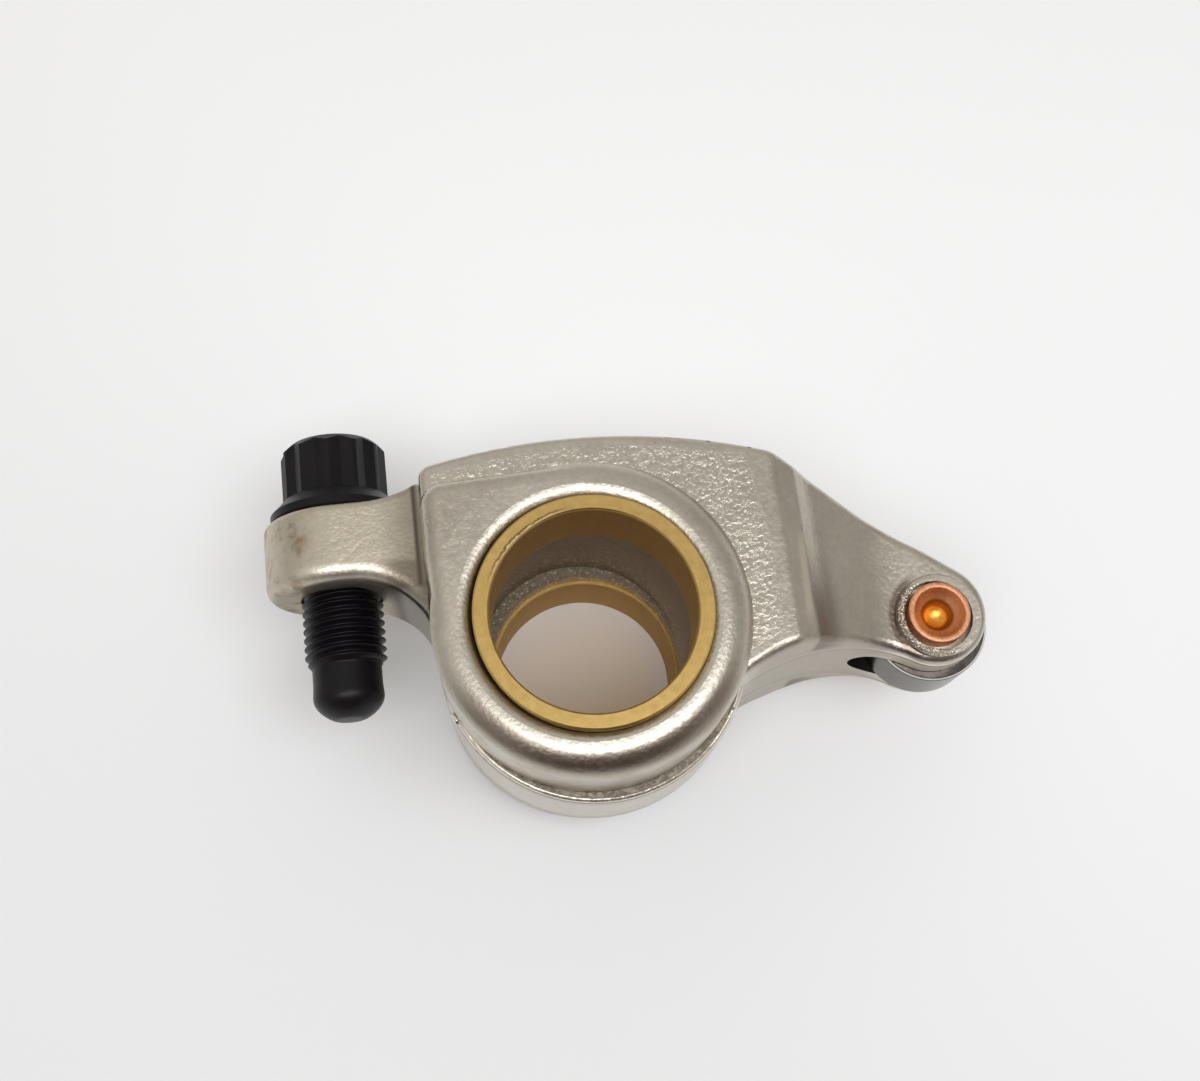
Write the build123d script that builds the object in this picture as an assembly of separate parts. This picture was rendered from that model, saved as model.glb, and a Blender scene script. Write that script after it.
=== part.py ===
"""Roller rocker arm for a valve train, lying on its side.

Frame: origin at the middle of the shaft bore, +Z along the bore, +X towards the roller, +Y along the
adjuster screw towards its lock nut. Millimetres.
"""

from build123d import *
import os
from math import acos, atan2, cos, hypot, pi, sin, sqrt

# ---------------------------------------------------------------- driving dimensions
# shaft bore and bushings
shaft_radius = 11.1125
shaft_clearance = 0.0175
bushing_wall = 1.79
bushing_length = 8.9
bushing_chamfer = 0.2
bearing_width = 37.78

# barrel of the casting
barrel_radius = 17.45
barrel_width = 36.2
boss_corner_drop = 0.8
boss_corner_radius = 2.6
boss_edge_radius = 2.3
boss_end_inset = 0.5
boss_end_turn = 0.14
ring_shift_x = -0.3
ring_shift_y = 0.3
ring_crest_width = 1.33
ring_lip_radius = 2.15
ring_overlap = 0.15
shoulder_step = 0.42
core_step = 0.6
core_shift = 0.95
core_width = 15.4

# belly rib under the barrel
rib_radius = 17.6
rib_shift_x = 0.3
rib_shift_y = -1.15
rib_width = 13.4
rib_edge_radius = 0.6

# crown and arm, seen along the bore
crown_radius = 71.9
crown_top_x = -0.7
crown_top_y = 21.65
crown_corner_radius = 1.6
shoulder_x = 22.6
shoulder_radius = 9.0
arm_top_bow = 0.3
arch_reach = 10.35
arch_y = -4.35
arch_root_radius = 22.0
arch_blend_radius = 4.0
face_edge_radius = 1.1

# arm, seen along the screw
plateau_width = 29.0
ledge_x = 22.3
ledge_radius = 2.0
ledge_run = 2.6
ledge_end_width = 26.0
ledge_end_radius = 1.6
arm_root_run = 1.7
arm_root_width = 22.8
arm_root_radius = 5.0
arm_run = 7.6
arm_tip_width = 14.6
arm_tip_radius = 9.0
nose_run = 4.8
nose_blend_radius = 9.0
nose_width = 16.0

# fork, roller and axle
roller_x = 40.05
roller_y = -1.8
roller_radius = 6.85
roller_width = 6.85
roller_edge = 0.3
roller_side_gap = 0.15
slot_end_x = 30.6
nose_shift_x = -0.3
nose_shift_y = 0.2
nose_radius = 6.0
axle_radius = 3.6
axle_running_clearance = 0.03
axle_length = 17.0
axle_edge = 0.15
axle_dish_radius = 2.9
axle_dish_depth = 0.9
axle_dimple_radius = 1.8
axle_dimple_depth = 1.6
collar_shift_x = -0.1
collar_shift_y = -0.3
collar_radius = 4.95
collar_height = 0.2
collar_edge = 0.15
recess_shift_x = -0.3
recess_shift_y = -0.3
recess_radius = 4.1
recess_depth = 1.9

# adjuster lug, screw and lock nut
screw_x = -28.15
screw_radius = 4.7625
thread_clearance = 0.05
lug_radius = 8.7
lug_top = 18.5
lug_bottom = 9.4
lug_top_edge_radius = 0.9
lug_bottom_edge_radius = 1.7
lug_blend_start = 3.7
lug_blend_end = 0.55
lug_crest_radius = 2.5
lug_top_blend_radius = 14.0
lug_bottom_blend_radius = 9.0
lug_root_blend_radius = 1.6
hole_chamfer = 0.25
seat_clearance = 0.25
thread_end = 2.0
neck_radius = 4.02
neck_y = -1.1
tip_radius = 4.12
tip_y = -2.9
tip_flat_radius = 1.8
tip_edge_radius = 0.8
screw_bottom = -5.15
socket_flats = 3.97
socket_depth = 4.2
screw_recess = 0.9
screw_end_chamfer = 0.5

nut_height = 9.9
nut_flats = 11.11
nut_point_radius = 6.27
nut_flange_radius = 7.85
nut_rim_height = 1.7
nut_rim_edge = 0.4
nut_cone_height = 1.3
nut_top_chamfer = 0.9
nut_mouth_chamfer = 0.3

# depth by which one solid runs into the next before they are joined, so that none ends on a tangent
sink = 0.02

# ---------------------------------------------------------------- sizes that follow
bore_radius = shaft_radius + shaft_clearance
seat_radius = bore_radius + bushing_wall
stop_radius = bore_radius + shoulder_step
stop_z = bearing_width / 2 - bushing_length
barrel_half = barrel_width / 2
boss_corner_y = barrel_radius - boss_corner_drop
ring_crest_radius = seat_radius + ring_crest_width
ring_outer_radius = barrel_radius + hypot(ring_shift_x, ring_shift_y) + sink - ring_crest_radius
plateau = plateau_width / 2
ledge_end_x = ledge_x + ledge_run
arm_root_x = ledge_end_x + arm_root_run
arm_tip_x = arm_root_x + arm_run
nose_x = arm_tip_x + nose_run
nose_half = nose_width / 2
slot_half = roller_width / 2 + roller_side_gap
roller_center = (roller_x, roller_y)
nose_center = (roller_x + nose_shift_x, roller_y + nose_shift_y)
nose_front_x = nose_center[0] + nose_radius
crown_center = (crown_top_x, crown_top_y - crown_radius)
ring_center = (ring_shift_x, ring_shift_y)
arch_x = barrel_radius + arch_reach
collar_center = (roller_x + collar_shift_x, roller_y + collar_shift_y)
recess_center = (roller_x + recess_shift_x, roller_y + recess_shift_y)
hole_radius = screw_radius + thread_clearance
nut_top = lug_top + nut_height
screw_top = nut_top - screw_recess


def arc_y(center, radius, x):
    """Height of the upper half of a circle at x."""
    return center[1] + sqrt(radius**2 - (x - center[0]) ** 2)


def point_on(center, radius, angle):
    """Point of a circle at an angle in radians."""
    return (center[0] + radius * cos(angle), center[1] + radius * sin(angle))


def towards(center, target, radius):
    """Point of a circle on the line from its centre to a target."""
    return point_on(center, radius, atan2(target[1] - center[1], target[0] - center[0]))


def midpoint(a, b):
    """Middle of two points."""
    return ((a[0] + b[0]) / 2, (a[1] + b[1]) / 2)


def circles_meet(center_a, radius_a, center_b, radius_b):
    """The upper of the two points where two circles cross."""
    dx = center_b[0] - center_a[0]
    dy = center_b[1] - center_a[1]
    apart = hypot(dx, dy)
    along = (apart**2 + radius_a**2 - radius_b**2) / (2 * apart)
    angle = acos(along / radius_a)
    points = [point_on(center_a, radius_a, atan2(dy, dx) + turn) for turn in (-angle, angle)]
    return max(points, key=lambda point: point[1])


def turned(points, plane):
    """Solid turned about a plane's local Y axis, from (radius, height) points in that plane."""
    with BuildPart() as part:
        with BuildSketch(plane):
            with BuildLine():
                Polyline(*points, close=True)
            make_face()
        revolve(axis=Axis(plane.origin, plane.y_dir))
    return part.part


def turned_about_bore(points, center=(0, 0)):
    """Solid turned about a line parallel to the bore."""
    return turned(points, Plane((center[0], center[1], 0), x_dir=(1, 0, 0), z_dir=(0, -1, 0)))


def turned_about_screw(points):
    """Solid turned about the adjuster screw's axis."""
    return turned(points, Plane((screw_x, 0, 0), x_dir=(1, 0, 0), z_dir=(0, 0, 1)))


def disc(radius, low, high, center=(0, 0)):
    """Cylinder parallel to the bore between two heights."""
    return Pos(center[0], center[1], (low + high) / 2) * Cylinder(radius, high - low)


def round_edges(solid, radius, at_z):
    """Round every edge that lies wholly at one of two mirrored heights."""
    level = solid.edges().filter_by(lambda e: abs(abs(e.center().Z) - at_z) < sink)
    flat = level.filter_by(lambda e: e.bounding_box().size.Z < sink)
    return fillet(flat, radius)


def both_ends(solid):
    """A solid and its mirror image in the middle plane of the bore."""
    return solid + mirror(solid, about=Plane.XY)


def across_plan(outline):
    """Sketch in X and Z drawn out through the full height of the casting."""
    return extrude(outline, amount=2 * crown_top_y, both=True)


# ---------------------------------------------------------------- casting: crown, arm and nose
def arm_side_outline():
    """Crown, arm and nose as seen along the bore, ending in a blend into the barrel's circle."""
    shoulder = (shoulder_x, arc_y(crown_center, crown_radius, shoulder_x))
    reach = hypot(shoulder[0] - nose_center[0], shoulder[1] - nose_center[1])
    to_shoulder = atan2(shoulder[1] - nose_center[1], shoulder[0] - nose_center[0])
    nose_top = point_on(nose_center, nose_radius, to_shoulder - acos(nose_radius / reach))
    # the arm's top edge bows out a little between its ends
    chord = atan2(nose_top[1] - shoulder[1], nose_top[0] - shoulder[0])
    arm_top = point_on(midpoint(shoulder, nose_top), arm_top_bow, chord + pi / 2)
    # two arcs meet level at the arch's apex: the outer one is tangent to the nose
    apex = (arch_x, arch_y)
    dx = nose_center[0] - arch_x
    dy = nose_center[1] - arch_y
    arch_radius = (dx**2 + dy**2 - nose_radius**2) / (2 * (nose_radius - dy))
    outer_center = (arch_x, arch_y - arch_radius)
    nose_bottom = towards(nose_center, outer_center, nose_radius)
    arch_mid = towards(outer_center, midpoint(apex, nose_bottom), arch_radius)
    # the blend touches the root arc from inside and the barrel from outside
    skin = barrel_radius - sink
    root_center = (arch_x, arch_y - arch_root_radius)
    inside_root = arch_root_radius - arch_blend_radius
    blend_center = circles_meet(root_center, inside_root, (0, 0), skin + arch_blend_radius)
    root_end = towards(root_center, blend_center, arch_root_radius)
    root_mid = towards(root_center, midpoint(apex, root_end), arch_root_radius)
    blend_end = towards((0, 0), blend_center, skin)
    blend_mid = towards(blend_center, midpoint(root_end, blend_end), arch_blend_radius)
    corner = (-barrel_radius, arc_y(crown_center, crown_radius, -barrel_radius))
    inner = (-barrel_radius, boss_corner_y - 2 * boss_corner_radius)
    with BuildSketch() as sketch:
        with BuildLine():
            ThreePointArc(corner, (crown_top_x, crown_top_y), shoulder)
            ThreePointArc(shoulder, arm_top, nose_top)
            ThreePointArc(nose_top, point_on(nose_center, nose_radius, 0), nose_bottom)
            ThreePointArc(nose_bottom, arch_mid, apex)
            ThreePointArc(apex, root_mid, root_end)
            ThreePointArc(root_end, blend_mid, blend_end)
            Polyline(blend_end, (0, 0), inner, corner)
        make_face()
        fillet(sketch.vertices().sort_by_distance(shoulder)[0], shoulder_radius)
        fillet(sketch.vertices().sort_by_distance(corner)[0], crown_corner_radius)
    return sketch.sketch


def arm_plan_outline():
    """Thickness of the arm along its length, drawn in X and Z."""
    start_x = -barrel_radius
    end_x = nose_front_x + nose_radius
    corners = (
        (ledge_x, plateau, ledge_radius),
        (ledge_end_x, ledge_end_width / 2, ledge_end_radius),
        (arm_root_x, arm_root_width / 2, arm_root_radius),
        (arm_tip_x, arm_tip_width / 2, arm_tip_radius),
        (nose_x, nose_half, nose_blend_radius),
    )
    with BuildSketch(Plane.XZ) as sketch:
        with BuildLine() as half:
            steps = [(x, z) for x, z, radius in corners]
            Polyline((start_x, 0), (start_x, plateau), *steps, (end_x, nose_half), (end_x, 0))
            mirror(half.line, about=Plane.XZ)
        make_face()
        for x, z, radius in corners:
            fillet(sketch.vertices().filter_by(lambda v: abs(v.X - x) < sink), radius)
    return sketch.sketch


def rim_edges(solid):
    """Edges between the faces seen along the bore and the walls around them, clear of the barrel."""
    along_y = solid.edges().filter_by(GeomType.LINE).filter_by(Axis.Y)
    along_z = solid.edges().filter_by(GeomType.LINE).filter_by(Axis.Z)
    rest = solid.edges() - along_y - along_z
    return rest.filter_by(lambda e: hypot(e.center().X, e.center().Y) > barrel_radius)


def arm_body():
    """Crown and arm: the side outline cut to the plan outline, with rounded edges."""
    side = extrude(arm_side_outline(), amount=plateau + sink, both=True)
    plan = extrude(arm_plan_outline(), amount=crown_top_y + barrel_radius, both=True)
    body = side & plan
    return fillet(rim_edges(body), face_edge_radius)


# ---------------------------------------------------------------- casting: adjuster lug
def lug_side_outline():
    """Lug as seen along the bore: flat top and bottom, with arcs into the crown and the barrel."""
    start_x = screw_x + lug_blend_start
    top_center = (start_x, lug_top + lug_top_blend_radius)
    end_x = -barrel_radius - lug_blend_end
    top_arc = [
        (x, 2 * top_center[1] - arc_y(top_center, lug_top_blend_radius, x))
        for x in (start_x, (start_x + end_x) / 2, end_x)
    ]
    crest = top_arc[-1]
    skin = barrel_radius - sink
    bottom_y = lug_bottom - lug_bottom_blend_radius
    bottom_center = (-sqrt((skin + lug_bottom_blend_radius) ** 2 - bottom_y**2), bottom_y)
    bottom_start = (bottom_center[0], lug_bottom)
    bottom_end = towards((0, 0), bottom_center, skin)
    bottom_mid = towards(bottom_center, midpoint(bottom_start, bottom_end), lug_bottom_blend_radius)
    left = screw_x - lug_radius - lug_root_blend_radius
    with BuildSketch() as sketch:
        with BuildLine():
            Polyline(bottom_start, (left, lug_bottom), (left, lug_top), top_arc[0])
            ThreePointArc(*top_arc)
            Polyline(crest, (-crown_top_y / 2, lug_top), (0, 0), bottom_end)
            ThreePointArc(bottom_end, bottom_mid, bottom_start)
        make_face()
        fillet(sketch.vertices().sort_by_distance(crest)[0], lug_crest_radius)
    return sketch.sketch


def lug_plan_outline():
    """Lug as seen along the screw: round end, parallel flanks and a flare at the barrel."""
    wall_x = -barrel_radius + 2 * sink
    flare_x = wall_x - lug_root_blend_radius
    flare_z = lug_radius + lug_root_blend_radius
    flare_mid = point_on((flare_x, flare_z), lug_root_blend_radius, -pi / 4)
    with BuildSketch(Plane.XZ) as sketch:
        with BuildLine() as half:
            ThreePointArc(
                (screw_x - lug_radius, 0),
                point_on((screw_x, 0), lug_radius, 3 * pi / 4),
                (screw_x, lug_radius),
            )
            Line((screw_x, lug_radius), (flare_x, lug_radius))
            ThreePointArc((flare_x, lug_radius), flare_mid, (wall_x, flare_z))
            Polyline((wall_x, flare_z), (0, flare_z), (0, 0))
            mirror(half.line, about=Plane.XZ)
        make_face()
    return sketch.sketch


def lug_rims(body, above):
    """Rim edges of the lug above or below its middle."""
    middle = (lug_top + lug_bottom) / 2
    outside = rim_edges(body).filter_by(lambda e: e.center().X < -barrel_radius)
    return outside.filter_by(lambda e: (e.center().Y > middle) == above)


def lug_body():
    """Adjuster lug with rounded rims above and below."""
    side = extrude(lug_side_outline(), amount=lug_radius + 2 * lug_root_blend_radius, both=True)
    body = side & across_plan(lug_plan_outline())
    body = fillet(lug_rims(body, True), lug_top_edge_radius)
    return fillet(lug_rims(body, False), lug_bottom_edge_radius)


# ---------------------------------------------------------------- casting: barrel, rib and collars
def crowned_barrel():
    """Barrel with both end faces rounded off outside the crest of the ring round the bore."""
    ring = disc(ring_crest_radius + ring_outer_radius, -barrel_half, barrel_half, ring_center)
    return disc(barrel_radius, -barrel_half, barrel_half) & round_edges(ring, ring_outer_radius, barrel_half)


def corner_pad():
    """Square corner over the lug, whose ends draw in until they run under the ring's crown."""
    corner = (-barrel_radius, boss_corner_y)
    touch_angle = 2 * atan2(boss_corner_y, -barrel_radius) - pi
    touch = point_on((0, 0), barrel_radius, touch_angle)
    top_end = point_on((0, 0), barrel_radius - boss_end_inset, touch_angle - boss_end_turn)
    left_end = point_on((0, 0), barrel_radius - boss_end_inset, pi + boss_end_turn)
    with BuildSketch() as sketch:
        with BuildLine():
            Polyline((0, 0), left_end, (-barrel_radius, boss_corner_y / 2), corner, touch, top_end, close=True)
        make_face()
        fillet(sketch.vertices().sort_by_distance(corner)[0], boss_corner_radius)
    pad = extrude(sketch.sketch, amount=barrel_half, both=True)
    level = pad.edges().filter_by(lambda e: abs(abs(e.center().Z) - barrel_half) < sink)
    outer = level.filter_by(lambda e: hypot(e.center().X, e.center().Y) > ring_crest_radius)
    return fillet(outer, boss_edge_radius)


def bore_lips():
    """What the rounded lips inside the ring's crest take away at both ends of the bore."""
    crest = ring_crest_radius + ring_overlap
    low = barrel_half - ring_lip_radius
    cup = disc(crest, low, barrel_half + ring_lip_radius, ring_center)
    return both_ends(cup - Pos(*ring_center, low + sink / 4) * Torus(crest, ring_lip_radius))


def belly_rib():
    """Rib round the middle of the barrel that stands out only below."""
    rib = disc(rib_radius, -rib_width / 2, rib_width / 2, (rib_shift_x, rib_shift_y))
    return round_edges(rib, rib_edge_radius, rib_width / 2)


def axle_collar():
    """Low boss round one end of the axle, set a little off the axle's centre as cast."""
    top = nose_half + collar_height
    boss = disc(collar_radius, slot_half, top, collar_center)
    return chamfer(boss.edges().filter_by(lambda e: abs(e.center().Z - top) < sink), collar_edge)


def rocker_body():
    """The whole casting with its machined bores."""
    body = crowned_barrel() + corner_pad()
    body += belly_rib()
    body += arm_body()
    body += lug_body()
    body += both_ends(axle_collar())
    beyond = barrel_half + bearing_width
    body -= disc(stop_radius, -beyond, beyond)
    body -= both_ends(disc(seat_radius, stop_z, beyond))
    body -= bore_lips()
    core_center = point_on((0, 0), core_shift, 3 * pi / 4)
    body -= disc(stop_radius + core_step, -core_width / 2, core_width / 2, core_center)
    # roller slot, milled along Y with a round end
    with BuildSketch(Plane.XZ) as slot:
        with Locations((slot_end_x + slot_half, 0)):
            Circle(slot_half)
        with Locations((slot_end_x + slot_half + nose_front_x / 2, 0)):
            Rectangle(nose_front_x, 2 * slot_half)
    body -= across_plan(slot.sketch)
    recess = nose_half + collar_height - recess_depth
    body -= both_ends(disc(recess_radius, recess, beyond, recess_center))
    body -= disc(axle_radius, -beyond, beyond, roller_center)
    # threaded hole for the adjuster, bevelled at its upper mouth, under a flat seat cut for the nut's flange
    seat = nut_flange_radius + seat_clearance
    body -= turned_about_screw(
        [
            (0, 0),
            (hole_radius, 0),
            (hole_radius, lug_top - hole_chamfer),
            (hole_radius + hole_chamfer, lug_top),
            (seat, lug_top),
            (seat, nut_top),
            (0, nut_top),
        ]
    )
    return body


# ---------------------------------------------------------------- turned pieces
def bushing():
    """Bushing pressed into the upper end of the barrel against its shoulder."""
    end = bearing_width / 2
    return turned_about_bore(
        [
            (bore_radius, stop_z),
            (seat_radius, stop_z),
            (seat_radius, end - bushing_chamfer),
            (seat_radius - bushing_chamfer, end),
            (bore_radius + bushing_chamfer, end),
            (bore_radius, end - bushing_chamfer),
        ]
    )


def roller():
    """Tip roller with a bevel on each edge, running on the axle."""
    bore = axle_radius + axle_running_clearance
    half = roller_width / 2
    bevel = half - roller_edge
    inner = bore + roller_edge
    outer = roller_radius - roller_edge
    return turned_about_bore(
        [
            (bore, -bevel),
            (inner, -half),
            (outer, -half),
            (roller_radius, -bevel),
            (roller_radius, bevel),
            (outer, half),
            (inner, half),
            (bore, bevel),
        ],
        roller_center,
    )


def roller_axle():
    """Axle pressed through both ears, with a dish and a dimple in each end."""
    end = axle_length / 2
    upper = [
        (axle_radius, end - axle_edge),
        (axle_radius - axle_edge, end),
        (axle_dish_radius, end),
        (axle_dimple_radius, end - axle_dish_depth),
        (0, end - axle_dimple_depth),
    ]
    lower = [(radius, -height) for radius, height in reversed(upper)]
    return turned_about_bore(upper + lower, roller_center)


def adjuster_screw():
    """Adjuster screw at its thread's outer diameter, with a plain neck, a round tip and a hex socket."""
    body = turned_about_screw(
        [
            (0, screw_top),
            (screw_radius - screw_end_chamfer, screw_top),
            (screw_radius, screw_top - screw_end_chamfer),
            (screw_radius, thread_end),
            (neck_radius, thread_end - (screw_radius - neck_radius)),
            (neck_radius, neck_y),
            (tip_radius, tip_y),
            (tip_flat_radius, screw_bottom),
            (0, screw_bottom),
        ]
    )
    at_tip = body.edges().filter_by(lambda e: abs(e.center().Y - tip_y) < sink)
    at_end = body.edges().filter_by(lambda e: abs(e.center().Y - screw_bottom) < sink)
    body = fillet(at_tip + at_end, tip_edge_radius)
    with BuildSketch(Plane((screw_x, screw_top, 0), z_dir=(0, 1, 0))) as socket:
        RegularPolygon(socket_flats / 2, 6, major_radius=False)
    return body - extrude(socket.sketch, amount=-socket_depth)


def lock_nut():
    """Twelve-point flanged nut: two crossed hexagons over a coned flange."""
    cone_top = lug_top + nut_rim_height + nut_cone_height
    with BuildSketch(Plane((screw_x, lug_top + nut_rim_height, 0), z_dir=(0, 1, 0))) as points:
        RegularPolygon(nut_flats / 2, 6, major_radius=False)
        RegularPolygon(nut_flats / 2, 6, rotation=30, major_radius=False)
        Circle(nut_point_radius, mode=Mode.INTERSECT)
    body = extrude(points.sketch, amount=nut_height - nut_rim_height)
    crowned = turned_about_screw(
        [
            (0, lug_top),
            (nut_flange_radius, lug_top),
            (nut_flange_radius, nut_top - nut_top_chamfer - (nut_flange_radius - nut_point_radius)),
            (nut_point_radius, nut_top - nut_top_chamfer),
            (nut_point_radius - nut_top_chamfer, nut_top),
            (0, nut_top),
        ]
    )
    flange = turned_about_screw(
        [
            (0, lug_top),
            (nut_flange_radius - nut_rim_edge, lug_top),
            (nut_flange_radius, lug_top + nut_rim_edge),
            (nut_flange_radius, lug_top + nut_rim_height - nut_rim_edge),
            (nut_flange_radius - nut_rim_edge, lug_top + nut_rim_height),
            (nut_point_radius, cone_top),
            (0, cone_top),
        ]
    )
    hole = turned_about_screw(
        [
            (0, lug_top - nut_mouth_chamfer),
            (hole_radius + 2 * nut_mouth_chamfer, lug_top - nut_mouth_chamfer),
            (hole_radius, lug_top + nut_mouth_chamfer),
            (hole_radius, nut_top - nut_mouth_chamfer),
            (hole_radius + 2 * nut_mouth_chamfer, nut_top + nut_mouth_chamfer),
            (0, nut_top + nut_mouth_chamfer),
        ]
    )
    return (body & crowned) + flange - hole


# ---------------------------------------------------------------- files
upper = bushing()
parts = {
    "rocker_body": rocker_body(),
    "upper_bushing": upper,
    "lower_bushing": mirror(upper, about=Plane.XY),
    "roller": roller(),
    "roller_axle": roller_axle(),
    "adjuster_screw": adjuster_screw(),
    "lock_nut": lock_nut(),
}
os.makedirs("parts", exist_ok=True)
for name, shape in parts.items():
    export_step(shape, f"parts/{name}.step")
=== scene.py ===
"""Looks of the roller rocker arm: satin nickel casting, bronze bushings, copper axle, black adjuster and nut.

Pieces are worked out in millimetres in the casting's own frame and written in metres: the bore runs along z,
the roller lies towards +x, and the adjuster's socket faces +y. Colours are linear.
"""

import bpy
import numpy as np
from math import pi, radians
from mathutils import Matrix, Vector


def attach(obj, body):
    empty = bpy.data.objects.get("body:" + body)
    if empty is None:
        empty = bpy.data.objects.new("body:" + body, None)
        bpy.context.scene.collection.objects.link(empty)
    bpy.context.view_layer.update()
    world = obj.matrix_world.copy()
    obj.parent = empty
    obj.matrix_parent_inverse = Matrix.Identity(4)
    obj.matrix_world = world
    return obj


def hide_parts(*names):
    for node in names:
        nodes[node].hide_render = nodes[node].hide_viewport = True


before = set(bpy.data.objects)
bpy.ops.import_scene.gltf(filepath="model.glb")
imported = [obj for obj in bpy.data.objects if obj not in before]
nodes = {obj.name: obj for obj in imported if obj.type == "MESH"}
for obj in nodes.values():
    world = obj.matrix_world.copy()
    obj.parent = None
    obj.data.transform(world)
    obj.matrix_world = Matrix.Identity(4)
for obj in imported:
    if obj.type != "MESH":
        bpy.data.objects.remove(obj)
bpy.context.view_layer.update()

MM = 0.001

# ---------------------------------------------------------------- sizes shared with the solids, in mm
BORE_AXIS = (0, 0)
BORE_RADIUS = 11.13
SEAT_RADIUS = 12.92
BARREL_RADIUS = 17.45
BARREL_HALF = 18.1
BEARING_HALF = 18.89
FLOOR_Z = -BEARING_HALF
PLATEAU_Z = 14.5
CROWN_CENTER = (-0.7, -50.25)
CROWN_RADIUS = 71.9
BOSS_CORNER_Y = 16.65
LEDGE_X = 22.3
ARCH_CENTER = (27.8, -26.35)
ARCH_RADIUS = 22.0
RIB_CENTER = (0.3, -1.15)
RIB_RADIUS = 17.6
RIB_HALF = 6.7
NOSE_HALF = 8.0
SLOT_END_X = 30.6
SLOT_HALF = 3.575
ROLLER_CENTER = (40.05, -1.8)
AXLE_RADIUS = 3.6
AXLE_HALF = 8.5
COLLAR_CENTER = (39.95, -2.1)
COLLAR_RADIUS = 4.95
SCREW_X = -28.15
SCREW_RADIUS = 4.7625
SCREW_TOP = 27.5
NECK_RADIUS = 4.02
THREAD_PITCH = 25.4 / 24


# ---------------------------------------------------------------- shader arithmetic
class Socket:
    """An output socket of numbers. Arithmetic on it adds Math nodes, so formulas read as formulas."""

    def __init__(self, graph, output):
        self.graph = graph
        self.output = output

    def math(self, operation, *others):
        """One Math node with this socket first and the others after it."""
        return self.graph.node("ShaderNodeMath", {"operation": operation}, dict(enumerate((self,) + others)))

    def __add__(self, other):
        return self.math("ADD", other)

    def __radd__(self, other):
        return self.math("ADD", other)

    def __sub__(self, other):
        return self.math("SUBTRACT", other)

    def __rsub__(self, other):
        return self.graph.number(other).math("SUBTRACT", self)

    def __mul__(self, other):
        return self.math("MULTIPLY", other)

    def __rmul__(self, other):
        return self.math("MULTIPLY", other)

    def __abs__(self):
        return self.math("ABSOLUTE")

    def most(self, other):
        """The larger of the two."""
        return self.math("MAXIMUM", other)

    def sway(self, amount):
        """A noise's departure from its middle, times the amount."""
        return (self - 0.5) * amount

    def step(self, low, high):
        """Smooth rise from 0 at low to 1 at high, or a fall where low is above high."""
        if low > high:
            return 1 - self.step(high, low)
        return self.graph.node(
            "ShaderNodeMapRange",
            {"interpolation_type": "SMOOTHSTEP"},
            {"Value": self, "From Min": low, "From Max": high},
        )

    def band(self, low, high, soft):
        """1 between low and high, falling to 0 over the width soft outside them."""
        return self.step(low - soft, low) * self.step(high + soft, high)


class Graph:
    """A node tree under construction: every node comes from the one method node()."""

    def __init__(self, tree):
        self.tree = tree
        self.tree.nodes.clear()

    def node(self, kind, settings, sockets, output=0):
        """Adds a node of that type, sets its settings, then its sockets.

        Returns one output, or the node itself if it has none. The setting "stops" is a colour ramp's
        (position, colour) for each of its two elements.
        """
        made = self.tree.nodes.new(kind)
        for name, value in settings.items():
            if name == "stops":
                for element, (position, color) in zip(made.color_ramp.elements, value):
                    element.position = position
                    element.color = (*color, 1.0)
            else:
                setattr(made, name, value)
        for name, value in sockets.items():
            if isinstance(value, Socket):
                self.tree.links.new(value.output, made.inputs[name])
            else:
                made.inputs[name].default_value = value
        if len(made.outputs) == 0:
            return made
        return Socket(self, made.outputs[output])

    def number(self, value):
        """A constant as a socket."""
        return self.node("ShaderNodeMath", {"operation": "ADD"}, {0: float(value), 1: 0.0})

    def parts(self, vector):
        """The three numbers of a vector."""
        first = self.node("ShaderNodeSeparateXYZ", {}, {0: vector})
        return [Socket(self, out) for out in first.output.node.outputs]

    def ramp(self, value, margin, dark, light):
        """Colour by value: dark up to the margin, light from 1 less the margin, and blended between them."""
        stops = ((margin, dark), (1 - margin, light))
        return self.node("ShaderNodeValToRGB", {"stops": stops}, {"Fac": value})

    def mix(self, share, a, b):
        """Colour a where share is 0 and b where it is 1."""
        colors = [value if isinstance(value, Socket) else (*value, 1.0) for value in (a, b)]
        sockets = {0: share, 6: colors[0], 7: colors[1]}
        return self.node("ShaderNodeMix", {"data_type": "RGBA", "clamp_factor": True}, sockets, 2)


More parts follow.
